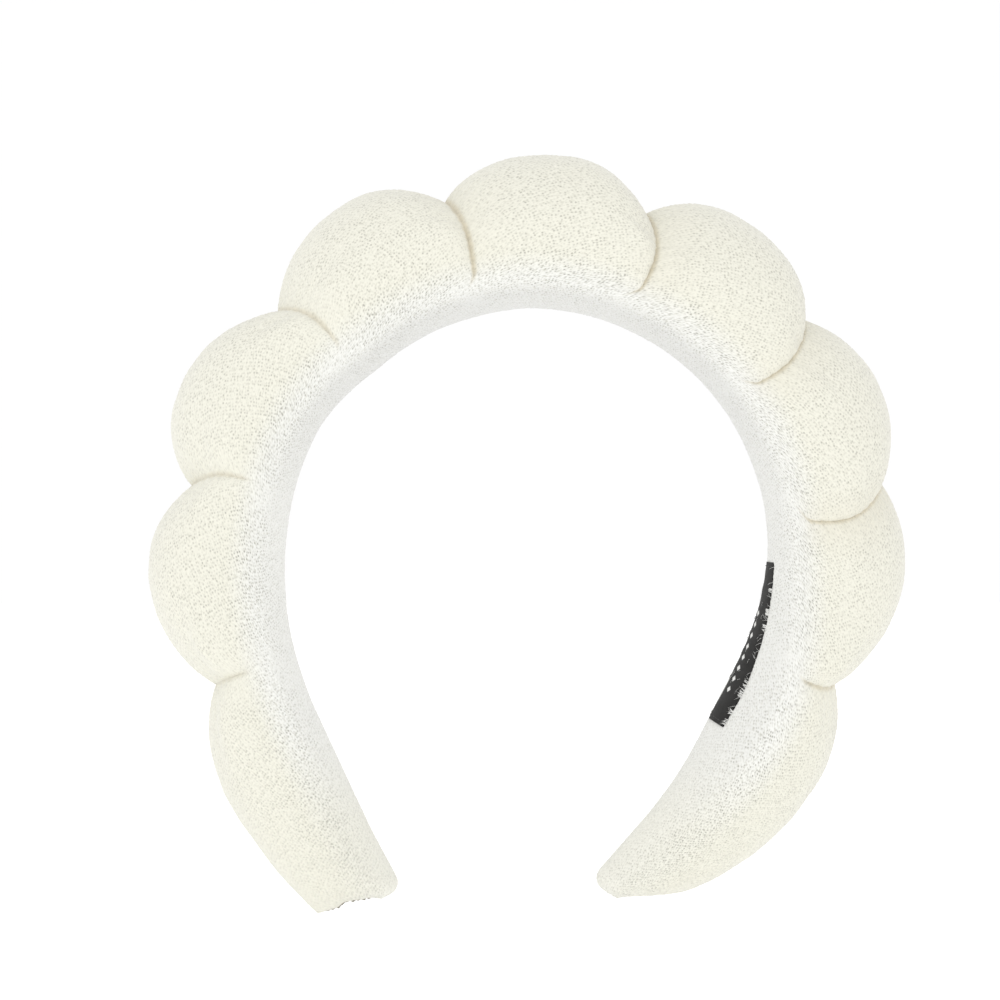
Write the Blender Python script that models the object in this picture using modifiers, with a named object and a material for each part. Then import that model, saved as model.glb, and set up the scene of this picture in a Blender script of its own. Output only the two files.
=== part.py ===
"""A padded spa headband: nine terry bubbles over a springy plastic hoop.

The band is laid out along its inner curve, the line that touches the head. A place on the band is given by
three lengths: along, from the crown (negative on the left arm, positive on the right arm); across, towards
the back; and height, outwards from the inner curve. The frame has +Z up through the crown, +X to the right
seen from the front, and its origin where the lining meets the crown of the head.
"""

import math
from collections import namedtuple

import bpy

MM = 0.001
DEG = math.pi / 180

# The inner curve: a round crown, then an arc of a larger radius on each arm, then a straight run to the tip.
# Past its peak the end bubble falls to its mouth, which is cut at a slant from a given height outwards.
CROWN_RADIUS = 60 * MM
Arm = namedtuple(
    "Arm", "side crown_turn ease_radius full_turn tip peak_at mouth_height fall slant slant_from"
)
LEFT_ARM = Arm(
    side=-1, crown_turn=76 * DEG, ease_radius=83 * MM, full_turn=115 * DEG, tip=186 * MM,
    peak_at=146 * MM, mouth_height=21 * MM, fall=1.45, slant=0.15, slant_from=3 * MM,
)
RIGHT_ARM = Arm(
    side=1, crown_turn=112 * DEG, ease_radius=162 * MM, full_turn=131 * DEG, tip=190 * MM,
    peak_at=141 * MM, mouth_height=20 * MM, fall=3.0, slant=1.0, slant_from=7 * MM,
)

# The right arm is turned about its own middle, so that its inner side faces a little forwards.
TWIST_START, TWIST_FULL = 92 * MM, 136 * MM
TWIST_MOST, TWIST_AT_TIP = 24 * DEG, 12 * DEG
TWIST_PIVOT = 16 * MM

# Creases between bubbles, from the left arm's lowest to the right arm's, with the cover's height in each.
CREASES = [-122.5 * MM, -84 * MM, -49 * MM, -14 * MM, 20 * MM, 52.5 * MM, 82.5 * MM, 119 * MM]
CREASE_HEIGHTS = [20 * MM, 24 * MM, 25 * MM, 26 * MM, 26.5 * MM, 27 * MM, 26.5 * MM, 21.5 * MM]
CREASE_DEPTH = 15.2 * MM
# The gathers run a little askew: how far each crease wanders along the band at the front of the neck.
CREASE_SLANTS = [1.0 * MM, 3.2 * MM, 3.6 * MM, 2.2 * MM, 4 * MM, 4.6 * MM, 5 * MM, 4.2 * MM]
SLANT_FROM, SLANT_FULL = 7 * MM, 15 * MM
PEAK_HEIGHTS = [30 * MM, 34.6 * MM, 36.2 * MM, 37.9 * MM, 38.7 * MM, 38.5 * MM, 37.3 * MM, 34.7 * MM, 31 * MM]
PEAK_DEPTHS = [17.5 * MM, 20 * MM, 20.7 * MM, 21 * MM, 21 * MM, 21 * MM, 20.7 * MM, 20 * MM, 17.5 * MM]
REST_PLANE = 20.4 * MM

# The closed mouth of each tip.
TIP_DEPTH = 8.5 * MM
MOUTH_DEPTH = 1.9 * MM
MOUTH_ROUNDING = 9 * MM
TIP_WIDTH_SHARE = 0.5

# Layers, counted outwards from the inner curve.
LINING_RADIUS = 25 * MM
LINING_HALF_WIDTH = 13.2 * MM
LINING_TOP = 3.9 * MM
HOOP_LOW, HOOP_HIGH = 4.25 * MM, 6.05 * MM
HOOP_HALF_WIDTH, HOOP_TIP_HALF_WIDTH = 11 * MM, 5 * MM
HINGE_HEIGHT = (HOOP_LOW + HOOP_HIGH) / 2
SEAM_HALF_WIDTH, SEAM_HEIGHT = 14.9 * MM, 4.7 * MM
FOOT_SHARE = 0.93
FOAM_LOW = 6.6 * MM
CLOTH = 1.2 * MM
CLEAR = 0.3 * MM
FOAM_INSET = CLOTH + 0.8 * MM
THREAD_RADIUS = 0.45 * MM
JOINT_HALF_GAP = 0.25 * MM

# How far each piece stops short of a tip's mouth.
FOAM_SHORT, LINING_SHORT, HOOP_SHORT = 5 * MM, 3 * MM, 9 * MM

# How far the crease next to the crown opens when the arms are spread, and every crease's share of it.
OPEN_MOST = 6.6 * DEG
OPEN_SHARES = [0.36, 0.64, 0.87, 1.0, 1.0, 0.87, 0.64, 0.36]

# The woven label on the right arm's inner side, sewn down with a fine thread.
LABEL_START, LABEL_END = 97 * MM, 139 * MM
LABEL_HALF_WIDTH = 5.6 * MM
LABEL_THICKNESS = 0.5 * MM
LABEL_GAP = 0.55 * MM
FINE_THREAD_RADIUS = 0.25 * MM
STITCH_MARGIN = 1.0 * MM

# How finely the lofts are cut: along a bubble, and over its section.
COVER_ROWS, COVER_STEPS = 9, 14
FOAM_ROWS, FOAM_STEPS = 9, 10
BAND_ROWS, LINING_STEPS, TIE_STEPS = 5, 6, 12
LABEL_ROWS, LABEL_STEPS = 10, 4
END_STITCHES = 14

LOBES = range(len(PEAK_HEIGHTS))
LAST_LOBE = len(PEAK_HEIGHTS) - 1


# ---------------------------------------------------------------- the inner curve


def smooth(value, low, high):
    """0 below low, 1 above high, and an even S between them."""
    t = min(max((value - low) / (high - low), 0.0), 1.0)
    return t * t * (3 - 2 * t)


def mix(a, b, share):
    return a + (b - a) * share


def inner_curve(along):
    """The inner curve's point (x, z), and the angle that the curve has turned through from the crown."""
    arm = RIGHT_ARM if along >= 0 else LEFT_ARM
    run = abs(along)
    crown_run = CROWN_RADIUS * arm.crown_turn
    turn = min(run, crown_run) / CROWN_RADIUS
    x, z = CROWN_RADIUS * math.sin(turn), CROWN_RADIUS * (math.cos(turn) - 1)
    if run > crown_run:
        ease_run = arm.ease_radius * (arm.full_turn - arm.crown_turn)
        start = turn
        turn += min(run - crown_run, ease_run) / arm.ease_radius
        x += arm.ease_radius * (math.sin(turn) - math.sin(start))
        z += arm.ease_radius * (math.cos(turn) - math.cos(start))
        straight = max(run - crown_run - ease_run, 0.0)
        x += straight * math.cos(turn)
        z -= straight * math.sin(turn)
    return arm.side * x, z, arm.side * turn


def twist(along):
    given = smooth(along, TWIST_START, TWIST_FULL) * TWIST_MOST
    given_back = smooth(along, TWIST_FULL, RIGHT_ARM.tip) * (TWIST_MOST - TWIST_AT_TIP)
    return given - given_back


def place(along, across, height):
    """The point of the frame at a place on the band."""
    x, z, turn = inner_curve(along)
    angle = twist(along)
    out = height - TWIST_PIVOT
    y = across * math.cos(angle) + out * math.sin(angle)
    up = TWIST_PIVOT + out * math.cos(angle) - across * math.sin(angle)
    return (x + up * math.sin(turn), y, z + up * math.cos(turn))


# ---------------------------------------------------------------- the bubbles' sizes


def end_arm(lobe):
    """The arm whose tip a bubble ends, or None."""
    return {0: LEFT_ARM, LAST_LOBE: RIGHT_ARM}.get(lobe)


def lobe_ends(lobe):
    low = CREASES[lobe - 1] if lobe > 0 else -LEFT_ARM.tip
    high = CREASES[lobe] if lobe < LAST_LOBE else RIGHT_ARM.tip
    return low, high


def swell(share):
    """How full a bubble is, from 0 in its creases, at shares -1 and 1, to 1 in its middle."""
    return (1 - min(abs(share), 1.0) ** 2.2) ** 0.62


def end_lobe_size(arm, lobe, along):
    """The greatest height and half-depth of an end bubble, before its mouth is pinched flat."""
    crease = lobe if arm.side < 0 else lobe - 1
    past = (abs(along) - arm.peak_at) / (arm.tip - arm.peak_at)
    if past > 0:
        height = mix(PEAK_HEIGHTS[lobe], arm.mouth_height, past**arm.fall)
        return height, mix(PEAK_DEPTHS[lobe], TIP_DEPTH, past**1.5)
    full = swell((arm.peak_at - abs(along)) / (arm.peak_at - abs(CREASES[crease])))
    return mix(CREASE_HEIGHTS[crease], PEAK_HEIGHTS[lobe], full), mix(CREASE_DEPTH, PEAK_DEPTHS[lobe], full)


def lobe_size(lobe, along):
    """The cover's greatest height and half-depth in a bubble."""
    arm = end_arm(lobe)
    if arm:
        height, depth = end_lobe_size(arm, lobe, along)
        near = min(max((arm.tip - abs(along)) / MOUTH_ROUNDING, 0.0), 1.0)
        return height, depth * mix(MOUTH_DEPTH / TIP_DEPTH, 1.0, math.sqrt(1 - (1 - near) ** 2))
    low, high = lobe_ends(lobe)
    share = (along - low) / (high - low)
    base = mix(CREASE_HEIGHTS[lobe - 1], CREASE_HEIGHTS[lobe], share)
    full = swell(2 * share - 1)
    return mix(base, PEAK_HEIGHTS[lobe], full), mix(CREASE_DEPTH, PEAK_DEPTHS[lobe], full)


def width_share(lobe, along):
    """The share of their width that the lining and the hoop keep towards a tip."""
    arm = end_arm(lobe)
    if not arm:
        return 1.0
    return mix(1.0, TIP_WIDTH_SHARE, smooth(abs(along), arm.peak_at - 10 * MM, arm.tip))


def seam_across(lobe, along):
    """How far the cover's lower edge lies from the band's middle."""
    return min(SEAM_HALF_WIDTH * width_share(lobe, along), lobe_size(lobe, along)[1] * FOOT_SHARE)


# ---------------------------------------------------------------- where a bubble's pieces start and end


def crease_gap(crease, lobe, height):
    """Half the gap at a crease, on one bubble's side: the pair's outer bubble also has room to swing."""
    gap = CLEAR + THREAD_RADIUS
    outer_lobe = crease if CREASES[crease] < 0 else crease + 1
    if lobe == outer_lobe:
        gap += max(height - HINGE_HEIGHT, 0.0) * OPEN_SHARES[crease] * OPEN_MOST
    return gap


def mouth_at(arm, height):
    return arm.tip - max(height - arm.slant_from, 0.0) * arm.slant


def crease_at(crease, across, height):
    """Where a crease runs along the band: straight over the hoop, askew above it."""
    askew = smooth(height, SLANT_FROM, SLANT_FULL) * CREASE_SLANTS[crease]
    return CREASES[crease] - askew * across / CREASE_DEPTH


def piece_ends(lobe, across, height):
    """Where a bubble's soft pieces start and end along the band."""
    low, high = -mouth_at(LEFT_ARM, height), mouth_at(RIGHT_ARM, height)
    if lobe > 0:
        low = crease_at(lobe - 1, across, height) + crease_gap(lobe - 1, lobe, height)
    if lobe < LAST_LOBE:
        high = crease_at(lobe, across, height) - crease_gap(lobe, lobe, height)
    return low, high


def band_rows(lobe, count, gap, short):
    """Places along the band for a lining or hoop piece, from its left end to its right end."""
    low, high = lobe_ends(lobe)
    low += short if lobe == 0 else gap
    high -= short if lobe == LAST_LOBE else gap
    return [mix(low, high, i / count) for i in range(count + 1)]


def lobe_shares(lobe, count, short):
    """Shares along a bubble, from -1 to 1 or short of its mouth, closer together near its ends."""
    low, high = lobe_ends(lobe)
    cut = 2 * short / (high - low)
    first = -1 + (cut if lobe == 0 else 0)
    last = 1 - (cut if lobe == LAST_LOBE else 0)
    even = [2 * i / count - 1 for i in range(count + 1)]
    return [mix(first, last, (mix(t, math.sin(t * math.pi / 2), 0.6) + 1) / 2) for t in even]


# ---------------------------------------------------------------- sections


def arch(top, depth, foot_across, foot_height, steps, power=2.5):
    """Points (across, height) from the front foot, over the top, to the back foot."""
    reach = 2 / power
    middle = mix(foot_height, top, 0.42)
    foot_angle = math.acos((foot_across / depth) ** (1 / reach))
    drop = (middle - foot_height) / math.sin(foot_angle) ** reach
    points = []
    for i in range(steps + 1):
        angle = mix(-foot_angle, math.pi + foot_angle, i / steps)
        across = -math.copysign(depth * abs(math.cos(angle)) ** reach, math.cos(angle))
        rise = top - middle if math.sin(angle) > 0 else drop
        points.append((across, middle + math.copysign(rise * abs(math.sin(angle)) ** reach, math.sin(angle))))
    return points


def lobe_grid(lobe, inset, foot_height, row_count, steps, short=0.0):
    """Rows of points over a bubble, inset from the outside of its cover."""
    low, high = lobe_ends(lobe)
    rows = []
    for share in lobe_shares(lobe, row_count, short):
        along = mix(low, high, (share + 1) / 2)
        top, depth = lobe_size(lobe, along)
        foot_across = seam_across(lobe, along) - inset
        row = []
        for across, height in arch(top - inset, depth - inset, foot_across, foot_height, steps):
            start, end = piece_ends(lobe, across, height)
            x, y, z = place(mix(start + inset, end - inset, (share + 1) / 2), across, height)
            row.append((x, min(y, REST_PLANE - inset), z))
        rows.append(row)
    return rows


def lining_face(across):
    """The height of the lining's face that touches the head."""
    return across * across / (2 * LINING_RADIUS)


# ---------------------------------------------------------------- building


def clear_scene():
    for thing in list(bpy.data.objects):
        bpy.data.objects.remove(thing, do_unlink=True)


def make_material(name, color, roughness):
    material = bpy.data.materials.new(name)
    material.use_nodes = True
    shader = material.node_tree.nodes["Principled BSDF"]
    shader.inputs["Base Color"].default_value = (*color, 1)
    shader.inputs["Roughness"].default_value = roughness
    return material


def add_object(name, data, material, collection):
    piece = bpy.data.objects.new(name, data)
    data.materials.append(material)
    collection.objects.link(piece)
    return piece


def loft(name, rows, closed, material, collection):
    """A surface through rows of points; a closed loft joins each row into a ring and caps both ends."""
    count = len(rows[0])
    faces = []
    for i in range(len(rows) - 1):
        for j in range(count if closed else count - 1):
            k = (j + 1) % count
            faces.append((i * count + j, (i + 1) * count + j, (i + 1) * count + k, i * count + k))
    if closed:
        faces.append(tuple(range(count)))
        faces.append(tuple((len(rows) - 1) * count + j for j in reversed(range(count))))
    mesh = bpy.data.meshes.new(name)
    mesh.from_pydata([point for row in rows for point in row], [], faces)
    mesh.shade_smooth()
    mesh.set_sharp_from_angle(angle=50 * DEG)
    return add_object(name, mesh, material, collection)


def thread(name, points, radius, material, collection):
    """A thread through a list of points."""
    curve = bpy.data.curves.new(name, "CURVE")
    curve.dimensions = "3D"
    curve.bevel_depth = radius
    curve.bevel_resolution = 1
    curve.use_fill_caps = True
    spline = curve.splines.new("POLY")
    spline.points.add(len(points) - 1)
    for point, spot in zip(spline.points, points):
        point.co = (*spot, 1)
    return add_object(name, curve, material, collection)


# ---------------------------------------------------------------- the pieces


def make_cover(lobe, material, collection):
    """The terry skin of one bubble: an open sheet over the filling, given the thickness of the cloth."""
    rows = lobe_grid(lobe, 0.0, SEAM_HEIGHT, COVER_ROWS, COVER_STEPS)
    cover = loft(f"cover_lobe_{lobe + 1}", rows, False, material, collection)
    skin = cover.modifiers.new("cloth", "SOLIDIFY")
    skin.thickness = CLOTH
    skin.offset = -1
    skin.use_even_offset = True


def make_foam(lobe, material, collection):
    """The sponge pad that fills one bubble and rests on the hoop."""
    rows = lobe_grid(lobe, FOAM_INSET, FOAM_LOW, FOAM_ROWS, FOAM_STEPS, FOAM_SHORT)
    loft(f"foam_pad_{lobe + 1}", rows, True, material, collection)


def make_hoop(lobe, material, collection):
    """One stretch of the springy plastic hoop, with its corners taken off."""
    corner = (HOOP_HIGH - HOOP_LOW) / 4
    rows = []
    for along in band_rows(lobe, BAND_ROWS, JOINT_HALF_GAP, HOOP_SHORT):
        half = mix(HOOP_TIP_HALF_WIDTH, HOOP_HALF_WIDTH, 2 * width_share(lobe, along) - 1)
        outline = [(-half + corner, HOOP_HIGH), (half - corner, HOOP_HIGH), (half, HOOP_HIGH - corner),
                   (half, HOOP_LOW + corner), (half - corner, HOOP_LOW), (-half + corner, HOOP_LOW),
                   (-half, HOOP_LOW + corner), (-half, HOOP_HIGH - corner)]
        rows.append([place(along, across, height) for across, height in outline])
    loft(f"hoop_segment_{lobe + 1}", rows, True, material, collection)


def make_lining(lobe, material, collection):
    """One stretch of the padded lining: crowned towards the head and flat under the hoop."""
    rows = []
    for along in band_rows(lobe, BAND_ROWS, JOINT_HALF_GAP, LINING_SHORT):
        half = min(LINING_HALF_WIDTH * width_share(lobe, along), seam_across(lobe, along) - CLOTH - CLEAR)
        across = [mix(-half, half, i / LINING_STEPS) for i in range(LINING_STEPS + 1)]
        top = [(a, LINING_TOP) for a in across]
        bottom = [(a, lining_face(a)) for a in reversed(across)]
        rows.append([place(along, a, height) for a, height in top + bottom])
    loft(f"lining_{lobe + 1}", rows, True, material, collection)


def make_tie(crease, material, collection):
    """The thread that gathers the cover between two bubbles, from the front seam over to the back seam."""
    inset = CLOTH / 2
    outline = arch(CREASE_HEIGHTS[crease] - inset, CREASE_DEPTH - inset,
                   CREASE_DEPTH * FOOT_SHARE - inset, SEAM_HEIGHT, TIE_STEPS)
    points = [place(crease_at(crease, across, height), across, height) for across, height in outline]
    thread(f"gather_tie_{crease + 1}", points, THREAD_RADIUS, material, collection)


def make_label(material, collection):
    """A woven ribbon that lies on the lining and bends with it."""
    rows = []
    across = [mix(-LABEL_HALF_WIDTH, LABEL_HALF_WIDTH, i / LABEL_STEPS) for i in range(LABEL_STEPS + 1)]
    for i in range(LABEL_ROWS + 1):
        along = mix(LABEL_START, LABEL_END, i / LABEL_ROWS)
        near = [(a, lining_face(a) - LABEL_GAP) for a in across]
        far = [(a, lining_face(a) - LABEL_GAP - LABEL_THICKNESS) for a in reversed(across)]
        rows.append([place(along, a, height) for a, height in near + far])
    loft("label", rows, True, material, collection)


def make_label_stitch(name, along, material, collection):
    """The row of fine stitches across one end of the label."""
    below = LABEL_GAP + LABEL_THICKNESS + CLEAR + FINE_THREAD_RADIUS
    half = LABEL_HALF_WIDTH - STITCH_MARGIN
    across = [mix(-half, half, i / LABEL_STEPS) for i in range(LABEL_STEPS + 1)]
    points = [place(along, a, lining_face(a) - below) for a in across]
    thread(name, points, FINE_THREAD_RADIUS, material, collection)


def make_end_stitch(name, arm, material, collection):
    """The whip stitch that closes the mouth of the cover at one tip."""
    sway = MOUTH_DEPTH - CLOTH / 2
    points = []
    for i in range(END_STITCHES + 1):
        height = mix(SEAM_HEIGHT + STITCH_MARGIN, arm.mouth_height - STITCH_MARGIN, i / END_STITCHES)
        along = mouth_at(arm, height) + (CLEAR + THREAD_RADIUS) * math.hypot(1, arm.slant)
        points.append(place(arm.side * along, sway if i % 2 else -sway, height))
    thread(name, points, THREAD_RADIUS, material, collection)


def make_headband():
    band = bpy.data.collections.new("spa_headband")
    bpy.context.scene.collection.children.link(band)
    terry = make_material("terry_cover", (0.89, 0.87, 0.77), 0.95)
    lining = make_material("terry_lining", (0.82, 0.82, 0.78), 0.95)
    sponge = make_material("sponge", (0.9, 0.86, 0.68), 0.9)
    plastic = make_material("hoop_plastic", (0.78, 0.79, 0.78), 0.4)
    cream_thread = make_material("cream_thread", (0.8, 0.77, 0.66), 0.8)
    black_ribbon = make_material("label_ribbon", (0.017, 0.016, 0.014), 0.7)
    black_thread = make_material("label_thread", (0.03, 0.03, 0.03), 0.7)
    for lobe in LOBES:
        make_cover(lobe, terry, band)
        make_foam(lobe, sponge, band)
        make_hoop(lobe, plastic, band)
        make_lining(lobe, lining, band)
    for crease in range(len(CREASES)):
        make_tie(crease, cream_thread, band)
    make_label(black_ribbon, band)
    make_label_stitch("label_stitch_top", LABEL_START + STITCH_MARGIN, black_thread, band)
    make_label_stitch("label_stitch_bottom", LABEL_END - STITCH_MARGIN, black_thread, band)
    make_end_stitch("end_stitch_left", LEFT_ARM, cream_thread, band)
    make_end_stitch("end_stitch_right", RIGHT_ARM, cream_thread, band)


clear_scene()
make_headband()
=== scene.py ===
"""The looks of a padded spa headband: nine bubbles of terry cloth, with their lining and sponge, on a hoop.

Lengths are in metres. A place on the band is given by three lengths: along, from the crown (negative on the
left arm, positive on the right arm); across, towards the back; and height, outwards from the inner curve.
"""

import math
from collections import namedtuple

import bpy
import numpy as np
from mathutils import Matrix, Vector


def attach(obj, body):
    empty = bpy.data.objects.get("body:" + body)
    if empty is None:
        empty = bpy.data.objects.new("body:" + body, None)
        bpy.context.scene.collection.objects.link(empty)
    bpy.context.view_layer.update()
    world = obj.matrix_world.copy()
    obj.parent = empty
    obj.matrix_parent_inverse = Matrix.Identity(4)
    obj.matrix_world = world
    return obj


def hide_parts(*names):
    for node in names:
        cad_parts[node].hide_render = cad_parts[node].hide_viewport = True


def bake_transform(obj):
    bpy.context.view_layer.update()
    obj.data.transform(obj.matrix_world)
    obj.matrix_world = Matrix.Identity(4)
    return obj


MM = 0.001
DEG = math.pi / 180

# ------------------------ the band's course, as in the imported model

# An arm follows the crown's circle as far as crown_turn, a wider circle as far as full_turn, and then a
# straight line to its tip. Its end bubble falls from peak_at to the mouth's height by the power fall, and
# its tip is cut askew by the share slant of the height over slant_from.
CROWN_RADIUS = 60 * MM
Arm = namedtuple(
    "Arm", "side crown_turn ease_radius full_turn tip peak_at mouth_height fall slant slant_from"
)
LEFT_ARM = Arm(
    side=-1, crown_turn=76 * DEG, ease_radius=83 * MM, full_turn=115 * DEG, tip=186 * MM,
    peak_at=146 * MM, mouth_height=21 * MM, fall=1.7, slant=0.15, slant_from=3 * MM,
)
RIGHT_ARM = Arm(
    side=1, crown_turn=112 * DEG, ease_radius=162 * MM, full_turn=131 * DEG, tip=190 * MM,
    peak_at=141 * MM, mouth_height=20 * MM, fall=3.0, slant=1.0, slant_from=7 * MM,
)
# The right arm is twisted about a line at the pivot's height.
TWIST_START, TWIST_FULL = 92 * MM, 136 * MM
TWIST_MOST, TWIST_AT_TIP = 24 * DEG, 12 * DEG
TWIST_PIVOT = 16 * MM
# The hinges' height over the inner curve, and how far the cloth's bend reaches to each side of one.
HINGE_HEIGHT = 5.15 * MM
BEND_REACH = 8 * MM

# ------------------------ the bubbles

# Creases from the left arm's lowest to the right arm's lowest, and the nine bubbles' fullest places.
CREASES = np.array([-122.9, -83.7, -49.2, -14.1, 20.0, 52.4, 82.7, 118.4]) * MM
CREASE_HEIGHTS = np.array([20.7, 25.0, 25.7, 28.5, 27.8, 28.7, 29.5, 21.5]) * MM
CREASE_DEPTHS = np.array([17.1, 18.8, 18.9, 18.4, 18.4, 18.7, 18.5, 16.6]) * MM
PEAKS = np.array([-149, -101, -69.3, -28.7, 6.2, 38.2, 67.4, 99.3, 142.9]) * MM
PEAK_HEIGHTS = np.array([29.2, 34.0, 35.4, 37.1, 38.2, 38.0, 36.5, 34.1, 29.2]) * MM
PEAK_DEPTHS = np.array([17.5, 20, 20.7, 21, 21, 21, 20.7, 20, 17.5]) * MM
STOPS = np.sort(np.concatenate([PEAKS, CREASES]))
# How far each crease runs askew at SLANT_DEPTH across, growing in between two heights.
CREASE_SLANTS = np.array([1.0, 3.2, 3.6, 2.2, 4.0, 3.8, 5.0, 3.2]) * MM
SLANT_DEPTH = 16.8 * MM
SLANT_FROM, SLANT_FULL = 4 * MM, 10 * MM
# How far back the soft bubbles reach where they lie on a table.
REST_PLANE = 20.4 * MM
REST_EASE = 1.2 * MM
TIP_DEPTH = 8.5 * MM
TIP_DEPTH_FALL = 1.5
MOUTH_DEPTH = 1.5 * MM
MOUTH_ROUNDING = 9 * MM
TIP_WIDTH_SHARE = 0.5
NARROWING_BEFORE_PEAK = 10 * MM

# A bubble falls off towards its creases by a power of its half length: on top by a power of its own for
# each half bubble, and on the sides by FALL_SIDE. Each crease begins at its foot, a height over the inner
# curve, and is full FOLD_FADE further out.
FALLS_TOP = [2.2, 2.1, 2.3, 2.2, 2.3, 2.2, 2.2, 3.6, 2.0, 2.9, 2.7, 1.8, 3.0, 2.7, 1.8, 2.1]
FALL_SIDE = 9.0
SIDE_FULL, SIDE_FROM = 16 * MM, 27 * MM
FOLD_FEET = np.array([9, 8, 6.5, 5, 5, 5, 5, 6]) * MM
FOLD_FADE = 6 * MM
SECTION_POWER = 2.3
SECTION_MIDDLE = 0.42
SECTION_SAMPLES = 400

# How the inner side strays from the even curve: at places along the band, outwards or (negative) inwards.
STRAY_PLACES = np.array([-186, -168, -62, -42, -15, 0, 96, 136, 150, 190]) * MM
STRAYS = np.array([-0.9, 0, 0, -1.6, -0.8, 0, 0, 0.3, 0.5, 0.2]) * MM
STRAY_FULL, STRAY_NONE = 5 * MM, 20 * MM
TIP_ROUNDING = 3.4 * MM
ROUNDING_FULL, ROUNDING_NONE = 1 * MM, 9 * MM
# How far the tips' closed ends are drawn back, at heights over the inner curve.
CUT_HEIGHTS = np.array([0, 3, 7, 14, 15.8, 18.5]) * MM
LEFT_CUTS = np.array([0.5, 0.4, 1.2, 2.0, 1.15, 1.1]) * MM
RIGHT_CUTS = np.array([0.2, 0.5, 0.9, 0.3, 0.2, 0]) * MM

SEAM_HALF_WIDTH, SEAM_HEIGHT = 14.9 * MM, 4.7 * MM
# The seams lie no further out across than this share of the cover's greatest depth.
FOOT_SHARE = 0.93
CLOTH = 1.2 * MM
# The sponge is smaller than the cover by an inset, and begins over the hoop.
SPONGE_INSET, SPONGE_FOOT = 2 * MM, 6.4 * MM
SPONGE_TIP_GAP = 10 * MM

# ------------------------ how finely the cloth is cut

# The back of a sheet has only every COARSE-th row and column of its front.
ROW_STEP = 0.31 * MM
SECTION_STEPS = 288
LINING_STEPS = 88
COARSE = 4
# The cloth map is measured along the band at MAP_HEIGHT, and around it in steps of one column.
MAP_HEIGHT = 17 * MM
COLUMN_STEP = 0.32 * MM

# ------------------------ the cloth's relief

# Random numbers come from the far digits of a sine of the cell's numbers.
SCATTER_WEIGHTS = [127.1, 311.7, 74.7]
SCATTER_SEED_WEIGHT = 53.3
SCATTER_SPREAD = 43758.5453

# Terry loops stand in rows that lean across the band, every second row shifted by half a loop. Each loop is
# moved at random by a share of its cell, and the least one has LOOP_LEAST of the full height.
LOOP_PITCH = 1.05 * MM
LOOP_ROW_SHARE = 0.87
LOOP_JITTER = 0.55
LOOP_LEAST = 0.55
LOOP_SQUASH, LOOP_SPREAD = 0.9, 0.16
LOOP_MEAN = 0.6
LOOP_HEIGHT, LINING_LOOP_HEIGHT = 0.22 * MM, 0.2 * MM
LOOP_LEAN = 24 * DEG
LEAN = np.array([[math.cos(LOOP_LEAN), -math.sin(LOOP_LEAN)], [math.sin(LOOP_LEAN), math.cos(LOOP_LEAN)]])
# Uneven filling: lumps of a size, a height and a seed. The lining shows little of it.
LUMPS = ((13 * MM, 0.35 * MM, 3), (4.5 * MM, 0.14 * MM, 4))
LINING_EVENNESS = 0.7
# Pleats run into the creases. They turn by PLEAT_TURN in a millimetre around the band, and sway with a noise.
PLEAT_HEIGHT = 0.09 * MM
PLEAT_TURN = 1.9
PLEAT_SWAY, PLEAT_SWAY_SIZE, PLEAT_SEED = 6, 9 * MM, 5
PLEATS_FROM, PLEATS_FULL = 0.55, 0.9

# ------------------------ where the cloth's colours, painted light and painted shade lie

# Painted shade between the loops: least on top, more on the open sides and low down, less in the lining.
GAPS_ON_TOP, GAPS_AT_SIDE, GAPS_LOW = 0.4, 0.95, 0.5
GAPS_SIDE_AT = 15 * MM
GAPS_LOW_FULL, GAPS_LOW_NONE = 8 * MM, 16 * MM
GAPS_LOST_IN_CREASE, GAPS_LOST_IN_LINING = 0.8, 0.25
GAPS_LOST_FROM, GAPS_LOST_FULL = 0.6, 0.97
# The inner side is painted whiter, as painted cool light, except towards the tips.
INNER_FULL, INNER_NONE = 6 * MM, 14 * MM
TIPS_FROM, TIPS_FULL = 135 * MM, 170 * MM
TIPS_LOSS = 0.75
# The lining's painted shade is greyest round the crown, and less so along the left and the right arm.
ARMS_FROM, ARMS_FULL = 45 * MM, 95 * MM
LEFT_LOSS, RIGHT_LOSS = 0.8, 0.5
# How many columns to each side the lining's share, and then its painted shade, are softened over at the
# seams.
LINING_EDGE, UNDER_EDGE = 6, 3
# How strongly the painted crease shade shows: as a thin line in each crease, and as a broad shade around it.
FOLD_LINES = [0.3, 0.5, 0.55, 0.9, 0.9, 0.85, 0.75, 0.7]
FOLD_SHADES = [0, 0, 0, 0.05, 0.1, 0.12, 0.2, 0.03]
FOLD_LINE_FROM, FOLD_SHADE_FROM = 0.96, 0.45
FOLD_COLOR_FROM, FOLD_COLOR_FULL = 1 * MM, 5 * MM

# ------------------------ the label and the threads

# The label crosses the last crease of the right arm. Its middle line wanders across the band, and its upper
# end is sunk a little into the pile.
LABEL_CREASE = 7
LABEL_START, LABEL_END = 97.7 * MM, 139.9 * MM
LABEL_MIDDLE_START, LABEL_MIDDLE_END = -1.2 * MM, 2.8 * MM
LABEL_HALF_WIDTH = 5.6 * MM
LABEL_THICKNESS = 0.3 * MM
LABEL_OUT, LABEL_RIPPLE, LABEL_EDGE_DIP = 0.36 * MM, 0.06 * MM, 0.12 * MM
LABEL_SUNK, LABEL_SUNK_OVER = 0.2 * MM, 8 * MM
# Its edges ripple, by turns in radians for each millimetre.
RIPPLE_TURN, RIPPLE_WANDER, RIPPLE_WANDER_TURN = 0.9, 2, 0.31
LABEL_ROWS, LABEL_STEPS = 168, 44
# The label's lozenges, in millimetres: from its upper end, from its middle line, and their own sizes.
LOZENGE_PITCH, LOZENGE_ACROSS = 2.9, 1.2
LOZENGE_LENGTH, LOZENGE_WIDTH = 1.2, 1.7
LOZENGES_FROM, LOZENGES_TO = 11.6, 34.8
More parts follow.
